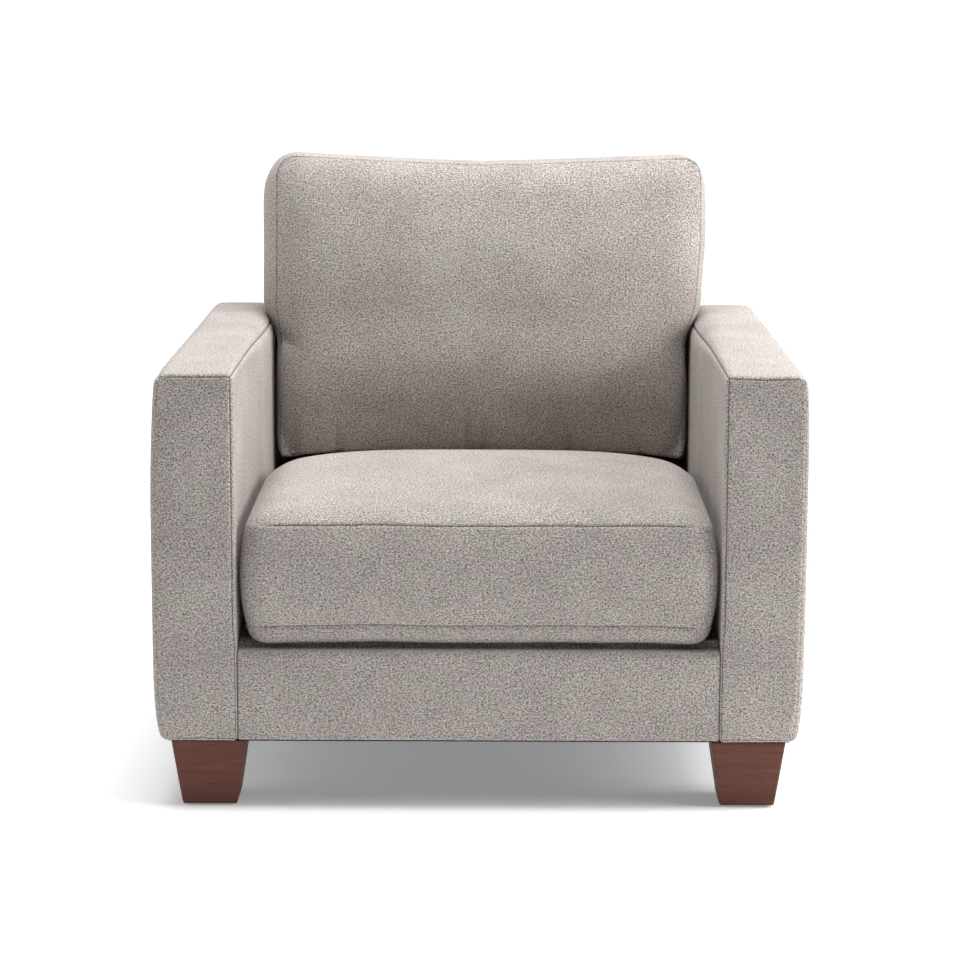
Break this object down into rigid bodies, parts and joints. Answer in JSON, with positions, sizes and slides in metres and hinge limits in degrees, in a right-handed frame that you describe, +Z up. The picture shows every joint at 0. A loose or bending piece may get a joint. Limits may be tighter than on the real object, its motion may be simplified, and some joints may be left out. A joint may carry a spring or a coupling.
{
  "type": "upholstered armchair",
  "caption": "Low square-armed upholstered armchair with a loose boxed seat cushion, a loose boxed back cushion and tapered wooden block legs.",
  "frame": {"origin": "on the floor, under the middle of the chair's overall box", "axes": "+Z up, the chair faces -Y, +X is to the right of someone who stands in front and looks at it"},
  "size_m": [0.876, 0.87, 0.8568],
  "materials": {
    "upholstery": "matte",
    "lining": "matte",
    "foam": "matte",
    "felt": "matte",
    "cambric": "matte",
    "webbing": "matte",
    "plywood": "matte",
    "stained_wood": "satin",
    "steel": "satin",
    "glide_plastic": "matte",
    "zip_tape": "matte",
    "zip_metal": "satin"
  },
  "bodies": {
    "frame": {"leg_front_left": "stained_wood", "leg_front_right": "stained_wood", "leg_rear_left": "stained_wood", "leg_rear_right": "stained_wood", "leg_bolt_front_left": "steel", "leg_bolt_front_right": "steel", "leg_bolt_rear_left": "steel", "leg_bolt_rear_right": "steel", "glide_front_left": "glide_plastic", "glide_front_right": "glide_plastic", "glide_rear_left": "glide_plastic", "glide_rear_right": "glide_plastic", "arm_cover_left": "upholstery", "arm_cover_right": "upholstery", "arm_padding_left": "foam", "arm_padding_right": "foam", "arm_bottom_rail_left": "plywood", "arm_bottom_rail_right": "plywood", "arm_top_rail_left": "plywood", "arm_top_rail_right": "plywood", "arm_front_post_left": "plywood", "arm_front_post_right": "plywood", "arm_rear_post_left": "plywood", "arm_rear_post_right": "plywood", "front_rail": "plywood", "rear_rail": "plywood", "seat_side_rail_left": "plywood", "seat_side_rail_right": "plywood", "corner_block_front_left": "plywood", "corner_block_front_right": "plywood", "corner_block_rear_left": "plywood", "corner_block_rear_right": "plywood", "front_rail_padding": "foam", "front_rail_cover": "upholstery", "seat_spring_1": "steel", "seat_spring_2": "steel", "seat_spring_3": "steel", "seat_spring_4": "steel", "seat_spring_5": "steel", "spring_clips_front": "steel", "spring_clips_rear": "steel", "spring_pad": "felt", "deck_cloth": "lining", "dust_cover": "cambric", "back_post_left": "plywood", "back_post_right": "plywood", "back_top_rail": "plywood", "back_tuck_rail": "plywood", "back_strap_1": "webbing", "back_strap_2": "webbing", "inside_back_cover": "upholstery", "outside_back_panel": "upholstery"},
    "seat_cushion": {"seat_cushion_cover": "upholstery", "seat_cushion_core": "foam", "seat_zip_tape": "zip_tape"},
    "seat_zip_slider": {"seat_zip_slider": "zip_metal"},
    "back_cushion": {"back_cushion_cover": "upholstery", "back_cushion_core": "foam", "back_zip_tape": "zip_tape"},
    "back_zip_slider": {"back_zip_slider": "zip_metal"}
  },
  "joints": [
    {"name": "seat_cushion_pulls_out", "type": "slide", "parent": "frame", "child": "seat_cushion", "axis": [0, -1, 0], "range_m": [0, 0.78]},
    {"name": "seat_zip", "type": "slide", "parent": "seat_cushion", "child": "seat_zip_slider", "axis": [1, 0, 0], "range_m": [0, 0.445]},
    {"name": "back_cushion_lifts_out", "type": "slide", "parent": "frame", "child": "back_cushion", "axis": [0, 0.0872, 0.9962], "range_m": [0, 0.45]},
    {"name": "back_zip", "type": "slide", "parent": "back_cushion", "child": "back_zip_slider", "axis": [1, 0, 0], "range_m": [0, 0.445]}
  ]
}
